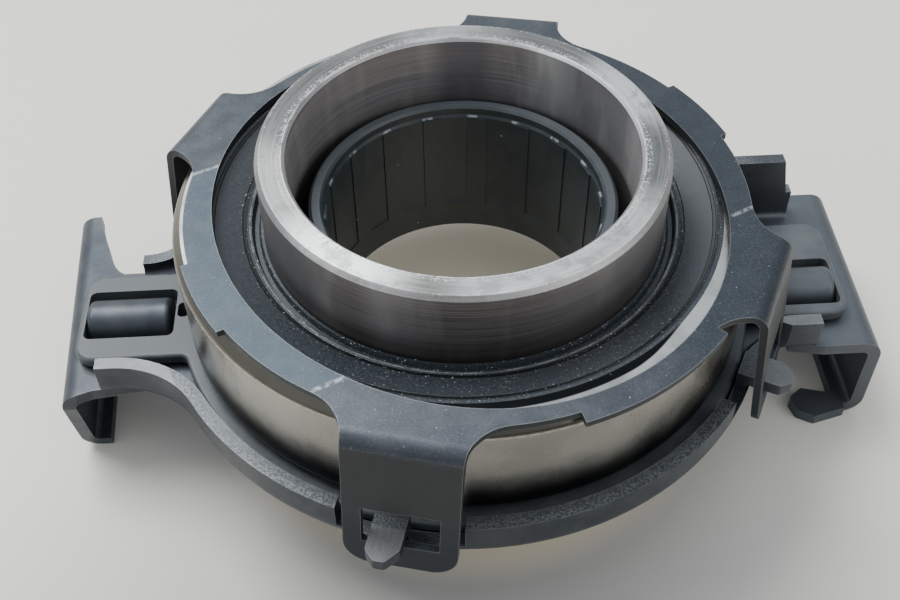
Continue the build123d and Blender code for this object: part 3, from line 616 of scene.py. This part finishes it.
def seal_material():
    g = Graph("seal_rubber_look")
    grain = g.noise(g.point, scale=3.0, detail=4.0, rough=0.6)
    smear = g.noise(g.point, scale=0.9, detail=4.0, rough=0.65)
    spark = g.noise(g.point, scale=4.5, detail=2.0, rough=0.7)
    specks = g.noise(g.moved(2.0, 9.0, 5.0), scale=3.4, detail=2.0, rough=0.6)
    grease = g.step(smear, (0.62, 0.70))
    bead = g.step(g.r, SEAL_BEAD_R)
    lip = g.band(g.r, *SEAL_LIP)
    inner_groove, outer_groove = (g.band(g.r, *groove) for groove in SEAL_GROOVES)
    grooves = g.plus(inner_groove, outer_groove, clamp=True)
    front = g.around(*SEAL_FRONT_ARC)

    color = g.grade(grain, TONES, SEAL)
    # Painted sheen at the front
    color = g.tint(color, g.around(*SEAL_SHEEN_ARC), SEAL_SHEEN, amount=0.2)
    color = g.tint(color, grease, SEAL_GREASE, amount=0.25)
    shine = g.times(lip, g.blend(0.30, g.step(g.spun(circle=14.0, along=g.r), (0.40, 0.58)), 1.0))
    color = g.tint(color, shine, SEAL_LIP_SHINE, amount=0.6)
    # Painted shade in the two grooves
    color = g.tint(color, grooves, SEAL_GROOVE_SHADE)
    # Painted glints on the bead
    bead_glints = g.times(bead, g.times(g.step(spark, (0.68, 0.74)), 0.9))
    color = g.tint(color, bead_glints, SEAL_BEAD_GLINT)
    greasy = g.plus(g.step(g.r, SEAL_GREASY_R), g.times(front, 0.4), clamp=True)
    color = g.tint(color, g.times(g.step(specks, (0.66, 0.71)), greasy), SEAL_SPECK, amount=0.8)

    rough = g.blend(grease, g.step(grain, LINE_TONES, 0.38, 0.50), GREASE_ROUGHNESS)
    rough = g.blend(g.times(front, 0.8), rough, SEAL_FRONT_ROUGHNESS)
    rough = g.blend(bead, rough, SEAL_BEAD_ROUGHNESS)
    rough = g.blend(lip, rough, SEAL_LIP_ROUGHNESS)
    form = g.bump(g.minus(g.times(lip, 0.5), grooves), depth=0.25, strength=0.6)
    return g.finish(color, rough, 0.0, g.bump(grain, depth=0.03, strength=0.4, under=form))


# Hidden pieces: plain turned steel for insert, shield and balls, tan plastic for the cage
INSERT_STEEL = (0.45, 0.45, 0.44)
BALL_STEEL = (0.78, 0.78, 0.78)
LINE_SHADE = 0.85
CAGE = ((0.33, 0.24, 0.13), (0.42, 0.32, 0.18))


def plain_steel(name, color):
    g = Graph(name)
    lines = g.noise(g.join(g.times(g.r, 5.0), g.z, 0.0), scale=1.0, detail=3.0, rough=0.6)
    shades = g.grade(lines, LINE_TONES, (tuple(LINE_SHADE * c for c in color), color))
    rough = g.step(lines, LINE_TONES, 0.22, 0.34)
    return g.finish(shades, rough, 1.0, g.bump(lines, depth=0.01, strength=0.3))


def cage_material():
    g = Graph("cage_plastic_look")
    grain = g.noise(g.point, scale=2.0, detail=3.0, rough=0.6)
    rough = g.step(grain, LINE_TONES, 0.4, 0.5)
    relief = g.bump(grain, depth=0.02, strength=0.3)
    return g.finish(g.grade(grain, TONES, CAGE), rough, 0.0, relief)


balls = [name for name in NODES if name.startswith("ball_") and name != "ball_cage"]
paint(nose_material(), "inner_ring")
paint(ring_material(), "outer_ring")
paint(cover_material(), "retaining_cover")
paint(carrier_material(), "carrier_plate")
paint(sleeve_material(), "guide_sleeve")
paint(seal_material(), "front_seal")
paint(plain_steel("insert_steel_look", INSERT_STEEL), "seal_insert", "rear_shield")
paint(plain_steel("ball_steel_look", BALL_STEEL), *balls)
paint(cage_material(), "ball_cage")


# Pale floor at the object's lowest point. It carries a painted shadow in front of the object, by
# the distance from SHADOW_AT, and a painted warm reflection below the bore.
FLOOR_REACH = 3.0
SHADOW_AT = (-8.0, -72.0, 0.0)
SHADOW_STRETCH = (0.8, 1.0, 0.0)
SHADOW_R = (84.0, 22.0)
WARM_REFLECTION_R = (37.0, 30.0)
FLOOR = ((0.74, 0.69, 0.61), (0.80, 0.75, 0.665))
FLOOR_SHADOW = (0.33, 0.32, 0.295)
FLOOR_WARM_REFLECTION = (0.98, 0.84, 0.62)
FLOOR_ROUGHNESS = 0.45


def floor_material():
    g = Graph("floor_look")
    color = g.mix(g.noise(g.point, scale=0.01, detail=3.0, rough=0.5), *FLOOR)
    away = g.vector("MULTIPLY", g.vector("SUBTRACT", g.point, SHADOW_AT), SHADOW_STRETCH)
    # Painted shadow in front of the object
    color = g.tint(color, g.step(g.vector("LENGTH", away), SHADOW_R, 0.0, 0.9), FLOOR_SHADOW)
    # Painted warm reflection below the bore
    color = g.tint(color, g.step(g.r, WARM_REFLECTION_R), FLOOR_WARM_REFLECTION)
    return g.finish(color, FLOOR_ROUGHNESS, 0.0)


corners = ((-1, -1), (1, -1), (1, 1), (-1, 1))
floor_mesh = bpy.data.meshes.new("floor")
floor_mesh.from_pydata(
    [(x * FLOOR_REACH, y * FLOOR_REACH, cad_low.z) for x, y in corners], [], [(0, 1, 2, 3)]
)
floor_mesh.materials.append(floor_material())
floor = bpy.data.objects.new("floor", floor_mesh)
add_to_scene(floor)


def area_light(name, place, size, power, color):
    """A rectangular light that faces the object's middle."""
    data = bpy.data.lights.new(name, "AREA")
    data.shape = "RECTANGLE"
    data.size, data.size_y = size
    data.energy = power
    data.color = color
    light = bpy.data.objects.new(name, data)
    add_to_scene(light)
    light.rotation_mode = "QUATERNION"
    light.rotation_quaternion = Vector(place).to_track_quat("Z", "Y")
    light.location = place


WINDOW_COLOR = (0.95, 0.98, 1.0)
FILL_COLOR = (0.96, 0.98, 1.0)
area_light("window", place=(-0.42, 0.36, 0.88), size=(0.7, 0.5), power=14.0, color=WINDOW_COLOR)
area_light("fill", place=(0.7, -0.4, 0.6), size=(0.8, 0.8), power=3.0, color=FILL_COLOR)

# Room light: brightest overhead towards the window, dim low down on the viewer's side
ROOM_COLOR = (0.78, 0.85, 0.93, 1.0)
ROOM_TOWARDS = (-0.36, 0.40, 0.84)
ROOM_SPAN = (-0.35, 0.95)
ROOM_STRENGTH = (0.32, 1.25)

world = bpy.data.worlds.new("world")
bpy.context.scene.world = world
world.use_nodes = True
tree = world.node_tree
background = tree.nodes["Background"]
background.inputs["Color"].default_value = ROOM_COLOR
towards = tree.nodes.new("ShaderNodeVectorMath")
towards.operation = "DOT_PRODUCT"
towards.inputs[1].default_value = ROOM_TOWARDS
sky = tree.nodes.new("ShaderNodeMapRange")
sky.interpolation_type = "SMOOTHSTEP"
sky.inputs["From Min"].default_value, sky.inputs["From Max"].default_value = ROOM_SPAN
sky.inputs["To Min"].default_value, sky.inputs["To Max"].default_value = ROOM_STRENGTH
direction = tree.nodes.new("ShaderNodeTexCoord").outputs["Generated"]
tree.links.new(direction, towards.inputs[0])
tree.links.new(towards.outputs["Value"], sky.inputs["Value"])
tree.links.new(sky.outputs["Result"], background.inputs["Strength"])
